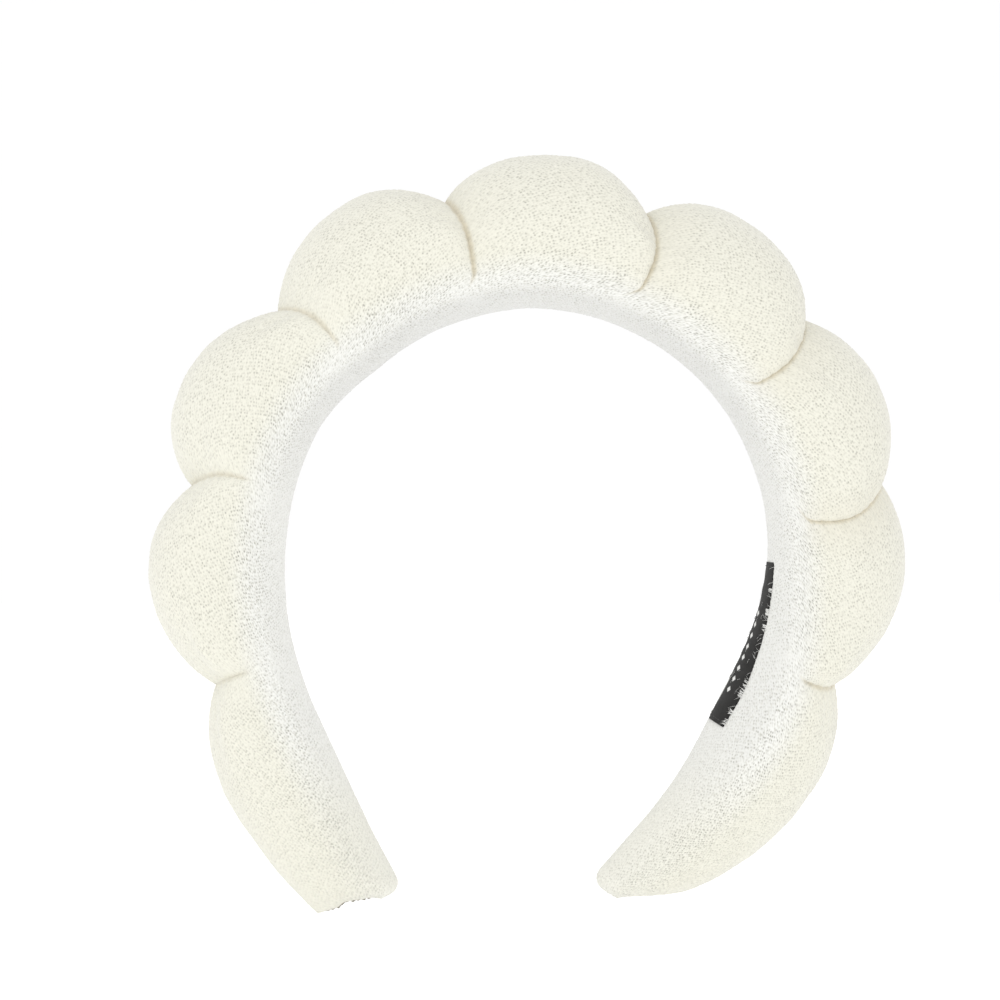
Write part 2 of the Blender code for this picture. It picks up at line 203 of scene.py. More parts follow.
# The label's stitches: their middles and half length across it, and how they arch.
STITCH_MIDDLES = np.linspace(-4.4, 4.4, 6) * MM
STITCH_FROM_END, STITCH_HALF, STITCH_RADIUS = 1 * MM, 0.62 * MM, 0.11 * MM
STITCH_ARCH = np.array([0.25, 0.34, 0.4, 0.42, 0.4, 0.34, 0.25]) * MM
# Pile over the label's edges: the side, its tufts and its single hairs. A few hairs lie on the ribbon too.
EDGE_PILE = ((-1, 10, 34), (1, 4, 14))
TUFT_HAIRS = 8
PILE_STEPS = np.array([0, 0.3, 0.65, 1])
PILE_OUT = np.array([-0.1, 0.38, 0.46, 0.5]) * MM
TUFT_RADII = np.array([0.07, 0.07, 0.05, 0.02]) * MM
HAIR_RADII = np.array([0.03, 0.03, 0.02, 0.01]) * MM
# Ranges in millimetres: how far the strands reach over the label's edge and drift along it, how far they
# are scattered, and how far beside the edge they start. STRAND_LIFT is a range of shares of PILE_OUT.
TUFT_REACH, HAIR_REACH = (0.6, 1.2), (0.7, 2.4)
TUFT_DRIFT, HAIR_DRIFT = (-0.4, 0.4), (-1.5, 1.5)
STRAND_SPREAD, STRAND_ROOT, STRAND_LIFT = (-0.8, 0.8), (0.1, 0.5), (0.9, 1.2)
# The hairs on the ribbon: ranges in millimetres of their places and lengths, and in radians of their heading.
RIBBON_HAIRS, RIBBON_HAIR_STEPS = 24, 5
RIBBON_HAIR_ALONG, RIBBON_HAIR_ACROSS = (2, 32), (-4.5, 4.5)
RIBBON_HAIR_LENGTH, RIBBON_HAIR_HEADING = (0.8, 2.2), (0.3, 1.4)
RIBBON_HAIR_RADIUS, RIBBON_HAIRS_WITHIN = 0.02 * MM, 5.4 * MM
PILE_SEED = 11
# The thread at a tip: from which to which share of the mouth it runs, and how it sways over the lips.
THREAD_FROM, THREAD_TO, THREAD_POINTS = 0.17, 0.84, 145
THREAD_SWAYS, THREAD_SWAY = 9, 0.56
THREAD_RIPPLES, THREAD_RIPPLE = 5.3, 0.05 * MM
THREAD_OUT, THREAD_RADIUS = 0.14 * MM, 0.17 * MM
THREAD_THIN_END, THREAD_TAPER = 0.3, 8
THREAD_SIDES, PILE_SIDES = 8, 5
# How many rows into the band the thread looks to find which way is out of the mouth.
MOUTH_ROWS = 4
# A direction that no strand runs along.
ACROSS_STRANDS = [0.31, 0.87, 0.39]

# ------------------------ colours

# Cream is the cloth's own colour; the white beside it is painted cool light for the inner side.
CREAM, INNER_PAINTED_LIGHT = (0.808, 0.795, 0.699, 1), (0.85, 0.85, 0.815, 1)
# Painted shade: grey for the lining's underside, tan for the bottoms of the creases.
UNDER_PAINTED_SHADE, CREASE_SHADE_TAN = (0.71, 0.71, 0.69, 1), (0.63, 0.57, 0.43, 1)
# Painted shade between the loops: grey in dashes, brown in small spots.
DASH_SHADE_GREY, GAP_SHADE_BROWN = (0.5, 0.49, 0.41, 1), (0.33, 0.32, 0.27, 1)
GAP_SHADE_STRENGTH = 0.72
RIBBON_DARK, RIBBON_BLACK = (0.006, 0.006, 0.006, 1), (0.012, 0.012, 0.011, 1)
RIBBON_DUSTY, RIBBON_MARK = (0.06, 0.058, 0.055, 1), (0.72, 0.72, 0.7, 1)
# Plain materials: their two colours, the grain's lumps in a metre, the roughness and the grain's depth.
PLAIN_LOOKS = {
    "sponge": ((0.86, 0.8, 0.58, 1), (0.6, 0.52, 0.3, 1), 900, 0.9, 0.4 * MM),
    "pile_fibre": ((0.86, 0.86, 0.84, 1), (0.75, 0.75, 0.72, 1), 2000, 0.9, 0.03 * MM),
    "label_thread": ((0.02, 0.02, 0.02, 1), (0.05, 0.05, 0.05, 1), 4000, 0.7, 0.05 * MM),
    "end_thread": ((0.30, 0.27, 0.2, 1), (0.2, 0.17, 0.12, 1), 4000, 0.8, 0.06 * MM),
    "hoop_plastic": ((0.78, 0.79, 0.78, 1), (0.7, 0.71, 0.7, 1), 300, 0.35, 0.03 * MM),
    "gather_thread": ((0.8, 0.77, 0.66, 1), (0.6, 0.56, 0.45, 1), 2500, 0.8, 0.1 * MM),
}
# In one millimetre of the cloth map: noise dashes, loops and twill ribs.
DASHES, LOOPS, TWILL = (0.9, 2.6, 1), (1.15, 1.4, 1), (1, 1.6, 1)

# ------------------------ camera and light

CAMERA_PLACE, CAMERA_TURN = (-6.9 * MM, -950 * MM, -48 * MM), (90 * DEG, 0, 0)
CAMERA_LENS, CAMERA_SENSOR = 136.8, 36
SKY_STRENGTH = 1.005
FLOOR_SIZE, FLOOR_HEIGHT = 6, -156 * MM
FLOOR_GREY, FLOOR_GLOW = (0.9, 0.9, 0.9, 1), 0.31
# Each lamp's name, size in metres, power in watts, place, and the point it shines at.
LAMPS = (
    ("key", 0.9, 1.55, (-0.6, -0.7, 0.85), (0, 0, -0.05)),
    ("fill", 0.2, 0.055, (0.03, -0.28, -0.1), (-0.09, 0, -0.09)),
)


def smooth(value, low, high):
    """0 below low, 1 above high, and an even S between them."""
    t = np.clip((value - low) / (high - low), 0.0, 1.0)
    return t * t * (3 - 2 * t)


def mix(a, b, share):
    return a + (b - a) * share


# ------------------------ places on the band


def arm_curve(arm, run):
    """The inner curve of one arm: x, z and the angle turned through from the crown."""
    crown_run = CROWN_RADIUS * arm.crown_turn
    ease_run = arm.ease_radius * (arm.full_turn - arm.crown_turn)
    start = np.minimum(run, crown_run) / CROWN_RADIUS
    turn = start + np.clip(run - crown_run, 0, ease_run) / arm.ease_radius
    straight = np.maximum(run - crown_run - ease_run, 0)
    x = CROWN_RADIUS * np.sin(start) + arm.ease_radius * (np.sin(turn) - np.sin(start))
    z = CROWN_RADIUS * (np.cos(start) - 1) + arm.ease_radius * (np.cos(turn) - np.cos(start))
    return arm.side * (x + straight * np.cos(turn)), z - straight * np.sin(turn), arm.side * turn


def inner_curve(along):
    left, right = arm_curve(LEFT_ARM, np.abs(along)), arm_curve(RIGHT_ARM, np.abs(along))
    return [np.where(along < 0, a, b) for a, b in zip(left, right)]


def twist(along):
    given = smooth(along, TWIST_START, TWIST_FULL) * TWIST_MOST
    return given - smooth(along, TWIST_FULL, RIGHT_ARM.tip) * (TWIST_MOST - TWIST_AT_TIP)


def level_of(along, across, height):
    """How high a place of the band stands outwards, once its section has been twisted."""
    angle = twist(along)
    return TWIST_PIVOT + (height - TWIST_PIVOT) * np.cos(angle) - across * np.sin(angle)


def place(along, across, height):
    """Points of the frame at places on the band."""
    along, across, height = np.broadcast_arrays(along, across, height)
    x, z, turn = inner_curve(along)
    angle = twist(along)
    out = height - TWIST_PIVOT
    y = across * np.cos(angle) + out * np.sin(angle)
    up = level_of(along, across, height)
    return np.stack([x + up * np.sin(turn), y, z + up * np.cos(turn)], axis=-1)


def past_peak(along):
    """How far a place lies from an end bubble's peak to its tip: 0 before the peak, 1 at the tip."""
    left = (-along - LEFT_ARM.peak_at) / (LEFT_ARM.tip - LEFT_ARM.peak_at)
    right = (along - RIGHT_ARM.peak_at) / (RIGHT_ARM.tip - RIGHT_ARM.peak_at)
    return np.clip(left, 0, 1), np.clip(right, 0, 1)


def settle(along, across, height):
    """Where a place of the cloth ends up along the band, askew by its gathers and cut at the mouths."""
    slant = np.interp(along, [-LEFT_ARM.tip, *CREASES, RIGHT_ARM.tip], [0, *CREASE_SLANTS, 0])
    askew = slant * across * np.abs(across) / SLANT_DEPTH**2
    moved = along - smooth(height, SLANT_FROM, SLANT_FULL) * askew
    for arm, past, cuts in zip((LEFT_ARM, RIGHT_ARM), past_peak(along), (LEFT_CUTS, RIGHT_CUTS)):
        lean = np.maximum(height - arm.slant_from, 0) * arm.slant
        cut = np.interp(height, CUT_HEIGHTS, cuts)
        moved = moved - arm.side * past * (lean + cut)
    return moved


# ------------------------ sizes along the band


def full_top(along):
    """The greatest height of the bubbles, if nothing pinched them."""
    top = np.interp(along, PEAKS, PEAK_HEIGHTS)
    for arm, past in zip((LEFT_ARM, RIGHT_ARM), past_peak(along)):
        top = mix(top, arm.mouth_height, past**arm.fall)
    return top


def full_depth(along):
    depth = np.interp(along, PEAKS, PEAK_DEPTHS)
    for arm, past in zip((LEFT_ARM, RIGHT_ARM), past_peak(along)):
        depth = mix(depth, TIP_DEPTH, past**TIP_DEPTH_FALL)
        near = np.clip((arm.tip - arm.side * along) / MOUTH_ROUNDING, 0, 1)
        depth = depth * mix(MOUTH_DEPTH / TIP_DEPTH, 1, np.sqrt(1 - (1 - near) ** 2))
    return depth


def pinch(along):
    """0 at each bubble's peak and 1 in the creases."""
    return np.interp(along, STOPS, [0, 1] * len(CREASES) + [0])


def width_share(along):
    """The share of their width that the lining and the seams keep towards a tip."""
    left = smooth(-along, LEFT_ARM.peak_at - NARROWING_BEFORE_PEAK, LEFT_ARM.tip)
    right = smooth(along, RIGHT_ARM.peak_at - NARROWING_BEFORE_PEAK, RIGHT_ARM.tip)
    return mix(1.0, TIP_WIDTH_SHARE, left + right)


def seam_across(along):
    return np.minimum(SEAM_HALF_WIDTH * width_share(along), full_depth(along) * FOOT_SHARE)


# ------------------------ sections


def spaced_evenly(across, height, steps):
    """Each row's points again, at even distances along the row."""
    shares = np.linspace(0, 1, steps + 1)
    evened = np.empty((2, len(across), steps + 1))
    for i, (a, h) in enumerate(zip(across, height)):
        run = np.concatenate([[0], np.cumsum(np.hypot(np.diff(a), np.diff(h)))])
        evened[0, i] = np.interp(shares * run[-1], run, a)
        evened[1, i] = np.interp(shares * run[-1], run, h)
    return evened


def arches(top, depth, foot):
    """Sections of the cover, each from the front seam over the top to the back seam."""
    top, depth, foot = top[:, None], depth[:, None], foot[:, None]
    reach = 2 / SECTION_POWER
    middle = mix(SEAM_HEIGHT, top, SECTION_MIDDLE)
    foot_angle = np.arccos((foot / depth) ** (1 / reach))
    drop = (middle - SEAM_HEIGHT) / np.sin(foot_angle) ** reach
    angle = mix(-foot_angle, math.pi + foot_angle, np.linspace(0, 1, SECTION_SAMPLES)[None, :])
    across = -np.sign(np.cos(angle)) * depth * np.abs(np.cos(angle)) ** reach
    rise = np.where(np.sin(angle) > 0, top - middle, drop)
    height = middle + np.sign(np.sin(angle)) * rise * np.abs(np.sin(angle)) ** reach
    return spaced_evenly(across, height, SECTION_STEPS)


def cover_places(along, inset=0.0):
    """Across and height of the cover's cloth, row by row, or of something smaller by an inset."""
    top, depth = full_top(along) - inset, full_depth(along) - inset
    foot = np.minimum(seam_across(along) - inset, depth * FOOT_SHARE)
    full = arches(top, depth, foot)
    neck_top = np.minimum(np.interp(along, CREASES, CREASE_HEIGHTS) - inset, top)
    neck_depth = np.minimum(np.interp(along, CREASES, CREASE_DEPTHS) - inset, depth)
    neck = arches(neck_top, neck_depth, np.minimum(foot, neck_depth * FOOT_SHARE))
    half_bubble = np.clip(np.searchsorted(STOPS, along, side="right") - 1, 0, len(FALLS_TOP) - 1)
    fall_top = np.array(FALLS_TOP)[half_bubble][:, None]
    side = 1 - smooth(level_of(along[:, None], *full), SIDE_FULL, SIDE_FROM)
    pinched = pinch(along)[:, None] ** mix(fall_top, FALL_SIDE, side)
    feet = np.interp(along, CREASES, FOLD_FEET)[:, None]
    pinched = pinched * smooth(full[1] - feet, 0, FOLD_FADE)
    return mix(full, neck, pinched)


# ------------------------ cloth


def scatter(cells, seed):
    """A random number from 0 to 1 for each cell, always the same for the same cell."""
    weights = np.array(SCATTER_WEIGHTS[: cells.shape[-1]])
    waves = np.sin(cells @ weights + seed * SCATTER_SEED_WEIGHT)
    return np.modf(np.abs(waves) * SCATTER_SPREAD)[0]


def noise(points, size, seed):
    """Smooth noise from -1 to 1 with lumps of a given size."""
    scaled = points / size
    corner = np.floor(scaled)
    part = scaled - corner
    part = part * part * (3 - 2 * part)
    total = np.zeros(points.shape[:-1])
    for code in range(8):
        step = np.array([code & 1, code >> 1 & 1, code >> 2 & 1])
        weight = np.prod(np.where(step, part, 1 - part), axis=-1)
        total += weight * scatter(corner + step, seed)
    return total * 2 - 1


def loops(flat):
    """How high the terry loops stand at places of the cloth map, from 0 to 1."""
    spot = flat / LOOP_PITCH * np.array([1, 1 / LOOP_ROW_SHARE])
    row = np.floor(spot[..., 1])
    best = np.zeros(flat.shape[:-1])
    for row_step in (-1, 0, 1):
        for step in (-1, 0, 1):
            j = row + row_step
            shift = np.mod(j, 2) * 0.5
            i = np.floor(spot[..., 0] - shift) + step
            cell = np.stack([i, j], axis=-1)
            x = i + shift + 0.5 + (scatter(cell, 1) - 0.5) * LOOP_JITTER
            y = j + 0.5 + (scatter(cell, 2) - 0.5) * LOOP_JITTER
            away = (spot[..., 0] - x) ** 2 + ((spot[..., 1] - y) * LOOP_SQUASH) ** 2
            height = mix(LOOP_LEAST, 1.0, scatter(cell, 3))
            best = np.maximum(best, height * np.exp(-away / LOOP_SPREAD))
    return best


def sheet_normals(points):
    """Unit normals of a grid of points."""
    normal = np.cross(np.gradient(points, axis=0), np.gradient(points, axis=1))
    return normal / np.linalg.norm(normal, axis=-1, keepdims=True)


def normals_of(points):
    """Unit normals of a closed tube of points."""
    return sheet_normals(np.concatenate([points[:, -1:], points, points[:, :1]], axis=1))[:, 1:-1]


def band_rows():
    """Rows along the band, and the index at which each piece starts and the last one ends."""
    stops = np.sort(np.concatenate([PEAKS[1:-1], CREASES, [-LEFT_ARM.tip, RIGHT_ARM.tip]]))
    rows, marks = [stops[0]], [0]
    for low, high in zip(stops[:-1], stops[1:]):
        count = COARSE * max(1, round((high - low) / ROW_STEP / COARSE))
        rows.extend(np.linspace(low, high, count + 1)[1:])
        marks.append(len(rows) - 1)
    return np.array(rows), marks[::2]


def stretched_run(along, height):
    """Length along the cloth at a height over the inner curve."""
    turn = inner_curve(along)[2]
    return along + height * turn


def soft_limit(value, limit):
    """Keeps values under a limit, bending over a short way before it."""
    over = np.maximum(value - (limit - REST_EASE), 0)
    return value - over + REST_EASE * np.tanh(over / REST_EASE)


def lining_places(foot):
    """Across and height of the lining's face, row by row, from the back seam to the front seam."""
    shares = np.linspace(1, -1, LINING_STEPS + 1)[None, 1:-1]
    return foot[:, None] * shares, SEAM_HEIGHT * np.abs(shares) ** 2 * np.ones_like(foot)[:, None]


def stray(along, height):
    """How far a place is moved outwards, near the inner curve only."""
    arm_tip = np.where(along < 0, LEFT_ARM.tip, RIGHT_ARM.tip)
    near = np.clip((arm_tip - np.abs(along)) / TIP_ROUNDING, 0, 1)
    rounding = TIP_ROUNDING * (1 - np.sqrt(1 - (1 - near) ** 2))
    shift = np.interp(along, STRAY_PLACES, STRAYS)
    low = 1 - smooth(height, STRAY_FULL, STRAY_NONE)
    return shift * low + rounding * (1 - smooth(height, ROUNDING_FULL, ROUNDING_NONE))


def soften_ring(values, reach):
    """A running mean around the tube, over the last axis."""
    shifts = range(-reach, reach + 1)
    return sum(np.roll(values, shift, axis=-1) for shift in shifts) / len(shifts)


def cloth_points(along, across, height, plane):
    """Points of the cloth, row by row, with the back flattened where it rests on a plane."""
    rows = along[:, None]
    points = place(settle(rows, across, height), across, height + stray(rows, height))
    points[..., 1] = soft_limit(points[..., 1], plane)
    return points


class Cloth:
    """The whole skin, cover and lining, as one closed tube of points over rows along the band."""

    def __init__(self):
        self.along, self.marks = band_rows()
        self.flat = stretched_run(self.along, MAP_HEIGHT)[:, None]
        self.pinched = pinch(self.along)[:, None]
        across, height = self.sections()
        points = cloth_points(self.along, across, height, REST_PLANE)
        lining = np.zeros(across.shape[1])
        lining[SECTION_STEPS + 1 :] = 1
        lining = soften_ring(lining, LINING_EDGE)[None, :]
        self.base, self.base_normal = points, normals_of(points)
        self.fine = points + self.base_normal * self.lift(lining)[..., None]
        self.normal = normals_of(self.fine)
        self.values = self.looks(across, height, lining)

    def sections(self):
        """Across and height of the tube's points: each row's cover, and then its lining."""
        cover = cover_places(self.along)
        self.foot = (cover[0][:, -1] - cover[0][:, 0]) / 2
        return np.concatenate([cover, lining_places(self.foot)], axis=2)

    def lift(self, lining):
        """How far the cloth stands out from its even shape: uneven filling, pleats and loops of pile."""
        flat = self.cloth_map(np.arange(lining.shape[1]))
        sway = PLEAT_SWAY * noise(self.base, PLEAT_SWAY_SIZE, PLEAT_SEED)
        pleats = np.sin(sway + flat[..., 1] * PLEAT_TURN) * smooth(self.pinched, PLEATS_FROM, PLEATS_FULL)
        lumps = sum(noise(self.base, size, seed) * height for size, height, seed in LUMPS)
        lumps = (lumps + pleats * PLEAT_HEIGHT) * (1 - LINING_EVENNESS * lining)
        return lumps + (loops(flat * MM) - LOOP_MEAN) * mix(LOOP_HEIGHT, LINING_LOOP_HEIGHT, lining)

    def looks(self, across, height, lining):
        """What the terry's material reads at each point, all as shares: painted shade between the loops,
        painted light on the inner side, painted shade in the creases and under the lining.
        """
        rows, pinched = self.along[:, None], self.pinched
        side = smooth(np.abs(across), 0, GAPS_SIDE_AT)
        side = side * (1 - GAPS_LOST_IN_CREASE * smooth(pinched, GAPS_LOST_FROM, GAPS_LOST_FULL))
        low = 1 - smooth(height, GAPS_LOW_FULL, GAPS_LOW_NONE)
        gaps = mix(GAPS_ON_TOP, GAPS_AT_SIDE, side) + GAPS_LOW * low
        before_tips = 1 - TIPS_LOSS * smooth(np.abs(rows), TIPS_FROM, TIPS_FULL)
        left, right = [smooth(arm.side * rows, ARMS_FROM, ARMS_FULL) for arm in (LEFT_ARM, RIGHT_ARM)]
        lit = LEFT_LOSS * left + RIGHT_LOSS * right
        line = smooth(pinched, FOLD_LINE_FROM, 1) * np.interp(rows, CREASES, FOLD_LINES)
        shade = smooth(pinched, FOLD_SHADE_FROM, 1) * np.interp(rows, CREASES, FOLD_SHADES)
        over_foot = height - np.interp(rows, CREASES, FOLD_FEET)
        return {
            # painted shade between the loops
            "gaps": gaps * (1 - GAPS_LOST_IN_LINING * lining),
            # painted cool light on the inner side, less towards the tips
            "inner": (1 - smooth(height, INNER_FULL, INNER_NONE)) * before_tips,
            # painted shade in the creases, faded out low on the sides
            "fold": (line + shade) * smooth(over_foot, FOLD_COLOR_FROM, FOLD_COLOR_FULL),
            # painted shade on the lining's underside, less along the arms and towards the tips
            "under": soften_ring(np.broadcast_to(lining, across.shape), UNDER_EDGE) * (1 - lit) * before_tips,
        }

    def cloth_map(self, columns):
        """The cloth's own flat coordinates in millimetres, leaning with the rows of loops."""
        girth = (columns - SECTION_STEPS / 2)[None, :] * COLUMN_STEP
        return np.stack(np.broadcast_arrays(self.flat, girth), axis=-1) @ LEAN / MM

    def cut(self, piece, first, last):
        """A piece's front points and normals, its coarse back, its cloth map and its attributes."""
        rows = slice(self.marks[piece], self.marks[piece + 1] + 1)
        columns = np.arange(first, last + 1)
        wrapped = columns % self.fine.shape[1]
        grids = [self.fine, self.normal, self.base - self.base_normal * CLOTH]
        front, normal, back = [grid[rows][:, wrapped] for grid in grids]
        values = {name: grid[rows][:, wrapped] for name, grid in self.values.items()}
        return front, normal, back[::COARSE, ::COARSE], self.cloth_map(columns)[rows], values

    def mouth_lips(self, row, places):
        """The front and back edges of a tip's closed mouth, at places counted from the lining outwards."""
        half = SECTION_STEPS // 2
        counted = np.arange(half + 1)
        lips = self.fine[row, : half + 1], self.fine[row, SECTION_STEPS : half - 1 : -1]
        return [np.stack([np.interp(places, counted, numbers) for numbers in lip.T], axis=1) for lip in lips]

    def on_lining(self, along, across, out):
        """A point over the lining's face; out counts towards the head."""
        height = SEAM_HEIGHT * (across / np.interp(along, self.along, self.foot)) ** 2
        return place(along, across, height + stray(along, height) - out)


# ------------------------ meshes


def sheet_faces(rows, columns):
    """Quads of a grid, the rims that join it to a coarser grid behind it, and that grid's quads."""
    width, coarse_width = columns + 1, columns // COARSE + 1
    behind = (rows + 1) * width
    faces = []
    for i in range(rows):
        start, after = i * width, (i + 1) * width
        faces += [(start + j, after + j, after + j + 1, start + j + 1) for j in range(columns)]
    for i in range(rows // COARSE):
        start, after = [behind + k * coarse_width for k in (i, i + 1)]
        faces += [(start + j, start + j + 1, after + j + 1, after + j) for j in range(columns // COARSE)]
    front = np.arange(behind).reshape(rows + 1, width)
    back = behind + np.arange((rows // COARSE + 1) * coarse_width).reshape(-1, coarse_width)
    edges = [
        (front[0], back[0]),
        (front[:, -1], back[:, -1]),
        (front[-1, ::-1], back[-1, ::-1]),
        (front[::-1, 0], back[::-1, 0]),
    ]
    for near, far in edges:
        for i in range(len(far) - 1):
            run = near[i * COARSE : (i + 1) * COARSE + 1]
            faces.append((*run.tolist(), int(far[i + 1]), int(far[i])))
    return faces


def tube_faces(rows, width):
    """Quads of a closed tube of points, and its two end caps."""
    faces = []
    for i in range(rows - 1):
        low, high = i * width, (i + 1) * width
        faces += [(low + j, high + j, high + (j + 1) % width, low + (j + 1) % width) for j in range(width)]
    faces.append(tuple(range(width)))
    faces.append(tuple(reversed(range((rows - 1) * width, rows * width))))
    return faces


def add_piece(name, mesh, material):
    mesh.materials.append(material)
    piece = bpy.data.objects.new(name, mesh)
    bpy.context.scene.collection.objects.link(piece)
    return piece


def make_sheet(name, front, front_normal, back, cloth_map, material, values):
    """A sheet of cloth: a fine front, a coarse back, and rims between them. cloth_map is in millimetres."""
    rows, columns = front.shape[0] - 1, front.shape[1] - 1
    mesh = bpy.data.meshes.new(name)
    points = np.concatenate([front.reshape(-1, 3), back.reshape(-1, 3)])
    mesh.from_pydata(points.tolist(), [], sheet_faces(rows, columns))
    mesh.shade_smooth()
    for key, grid in values.items():
        layer = mesh.attributes.new(key, "FLOAT", "POINT")
        both = np.concatenate([grid.ravel(), grid[::COARSE, ::COARSE].ravel()])
        layer.data.foreach_set("value", both.astype(np.float32))
    corner = np.empty(len(mesh.loops), np.int32)
    mesh.loops.foreach_get("vertex_index", corner)
    spots_on = np.concatenate([cloth_map.reshape(-1, 2), cloth_map[::COARSE, ::COARSE].reshape(-1, 2)])
    mesh.uv_layers.new(name="cloth").data.foreach_set("uv", spots_on[corner].astype(np.float32).ravel())
    back_normal = -front_normal[::COARSE, ::COARSE]
    normal = np.concatenate([front_normal.reshape(-1, 3), back_normal.reshape(-1, 3)])
    mesh.normals_split_custom_set_from_vertices(normal.tolist())
    return add_piece(name, mesh, material)


def make_strands(name, paths, radii, sides, material):
    """Round strands along paths, each path with its own radius at each of its points."""
    points, faces = [], []
    turn = np.linspace(0, 2 * math.pi, sides, endpoint=False)[None, :, None]
    for path, radius in zip(paths, radii):
        ahead = np.gradient(path, axis=0)
        ahead /= np.linalg.norm(ahead, axis=1, keepdims=True)
        side = np.cross(ahead, ACROSS_STRANDS)
        side /= np.linalg.norm(side, axis=1, keepdims=True)
        other = np.cross(ahead, side)
        ring = np.cos(turn) * side[:, None] + np.sin(turn) * other[:, None]
        start = len(points)
        points.extend((path[:, None] + ring * np.reshape(radius, (-1, 1, 1))).reshape(-1, 3).tolist())
        for i in range(len(path) - 1):
            for j in range(sides):
                k = (j + 1) % sides
                low, high = start + i * sides, start + (i + 1) * sides
                faces.append((low + j, low + k, high + k, high + j))
        faces.append(tuple(start + j for j in reversed(range(sides))))
        faces.append(tuple(start + (len(path) - 1) * sides + j for j in range(sides)))
    mesh = bpy.data.meshes.new(name)
    mesh.from_pydata(points, [], faces)
    mesh.shade_smooth()
    return add_piece(name, mesh, material)


def bend_across(piece, crease):
    """Works out the ends of a crease's joint, and bakes the piece's transform into its mesh."""
    start = place(CREASES[crease] - BEND_REACH, 0, HINGE_HEIGHT)
    end = place(CREASES[crease] + BEND_REACH, 0, HINGE_HEIGHT)
    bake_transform(piece)


# ------------------------ materials


def new_material(name):
    material = bpy.data.materials.new(name)
    material.use_nodes = True
    tree = material.node_tree
    shader = tree.nodes["Principled BSDF"]
    return material, tree, shader


def add_node(tree, kind, **values):
    """A node with its inputs set by name; node properties are given with a leading underscore."""
    node = tree.nodes.new(kind)
    for key, value in values.items():
        if key.startswith("_"):
            setattr(node, key[1:], value)
        else:
            node.inputs[key.replace("_", " ")].default_value = value
    return node


def math_node(tree, operation, first, second):
    node = tree.nodes.new("ShaderNodeMath")
    node.operation = operation
    for socket, value in zip(node.inputs, (first, second)):
        if isinstance(value, (int, float)):
            socket.default_value = value
        else:
            tree.links.new(value, socket)
    return node.outputs[0]


def mix_colors(tree, share, first, second):
    node = tree.nodes.new("ShaderNodeMix")
    node.data_type = "RGBA"
    for socket, value in ((node.inputs[0], share), (node.inputs[6], first), (node.inputs[7], second)):
        if isinstance(value, bpy.types.NodeSocket):
            tree.links.new(value, socket)
        else:
            socket.default_value = value
    return node.outputs[2]


def map_range(tree, value, low, high, to_low=0.0, to_high=1.0):
    node = tree.nodes.new("ShaderNodeMapRange")
    tree.links.new(value, node.inputs["Value"])
    for key, number in (("From Min", low), ("From Max", high), ("To Min", to_low), ("To Max", to_high)):
        node.inputs[key].default_value = number
    return node.outputs[0]


def attribute(tree, name):
    return add_node(tree, "ShaderNodeAttribute", _attribute_name=name).outputs["Fac"]


def set_uniform(shader, **values):
    """Values that are the same all over a surface, straight on the shader's sockets."""
    for key, value in values.items():
        shader.inputs[key.replace("_", " ")].default_value = value


def add_bump(tree, shader, height, strength, distance):
    bump = add_node(tree, "ShaderNodeBump", Strength=strength, Distance=distance)
    tree.links.new(height, bump.inputs["Height"])
    tree.links.new(bump.outputs[0], shader.inputs["Normal"])


def spots(tree, scale, detail=2.0, roughness=0.6):
    """Noise over the object's own space; scale is lumps in a metre."""
    spot = tree.nodes.new("ShaderNodeTexCoord")
    node = add_node(tree, "ShaderNodeTexNoise", Scale=scale, Detail=detail, Roughness=roughness)
    tree.links.new(spot.outputs["Object"], node.inputs["Vector"])
    return node.outputs["Fac"]


def cloth_uv(tree, scale):
    """The cloth map, scaled."""
    uv = add_node(tree, "ShaderNodeUVMap", _uv_map="cloth")
    mapping = tree.nodes.new("ShaderNodeMapping")
    mapping.inputs["Scale"].default_value = scale
    tree.links.new(uv.outputs[0], mapping.inputs["Vector"])
    return mapping.outputs[0]


def terry_material(name):
    """Looped cotton: cream, with painted light near the head, painted shade under the lining and in the
    creases, and painted shade in dashes and small spots between its loops.
    """
    material, tree, shader = new_material(name)
    # Painted cool light on the inner side.
    body = mix_colors(tree, attribute(tree, "inner"), CREAM, INNER_PAINTED_LIGHT)
    # Painted shade on the lining's underside.
    body = mix_colors(tree, attribute(tree, "under"), body, UNDER_PAINTED_SHADE)
    # Painted shade in the creases.
    body = mix_colors(tree, attribute(tree, "fold"), body, CREASE_SHADE_TAN)
    # Painted shade between the loops, in dashes and in spots.
    body = mix_colors(tree, dash_shade_shares(tree), body, DASH_SHADE_GREY)
    gap = gap_shade_shares(tree)
    tree.links.new(mix_colors(tree, gap, body, GAP_SHADE_BROWN), shader.inputs["Base Color"])
    set_uniform(shader, Roughness=0.95, Specular_IOR_Level=0.2, Sheen_Weight=0.45, Sheen_Roughness=0.5)
    fibres = math_node(tree, "MULTIPLY", spots(tree, scale=3000, detail=3.0, roughness=0.7), 0.8)
    add_bump(tree, shader, math_node(tree, "SUBTRACT", fibres, gap), strength=0.6, distance=0.3 * MM)
    return material


def dash_shade_shares(tree):
    """Faint dashes of painted shade along the rows of loops."""
    dash = add_node(tree, "ShaderNodeTexNoise", _noise_dimensions="2D", Scale=1.0, Detail=1.0)
    tree.links.new(cloth_uv(tree, DASHES), dash.inputs["Vector"])
    dash = map_range(tree, dash.outputs["Fac"], low=0.5, high=0.85, to_high=0.5)
    return math_node(tree, "MULTIPLY", dash, attribute(tree, "gaps"))


